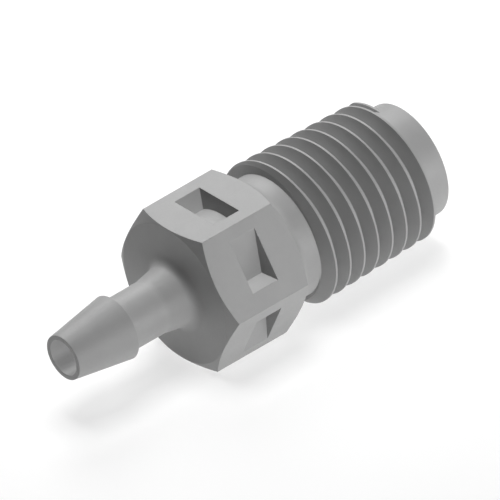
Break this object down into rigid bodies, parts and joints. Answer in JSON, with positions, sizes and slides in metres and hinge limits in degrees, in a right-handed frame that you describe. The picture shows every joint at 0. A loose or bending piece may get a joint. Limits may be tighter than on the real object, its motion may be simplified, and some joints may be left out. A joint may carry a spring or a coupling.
{
  "type": "straight hose barb fitting",
  "caption": "Straight plastic tube fitting: single hose barb, wrench hexagon and tapered pipe thread.",
  "frame": {"origin": "middle of the barb's mouth, on the fitting's axis", "axes": "+X along the axis from the barb's mouth to the threaded end, +Z square to the hexagon's top flat"},
  "size_m": [0.0225, 0.009, 0.008],
  "materials": {
    "moulded_plastic": "matte"
  },
  "bodies": {
    "root": {"barb_fitting": "moulded_plastic"}
  },
  "joints": []
}
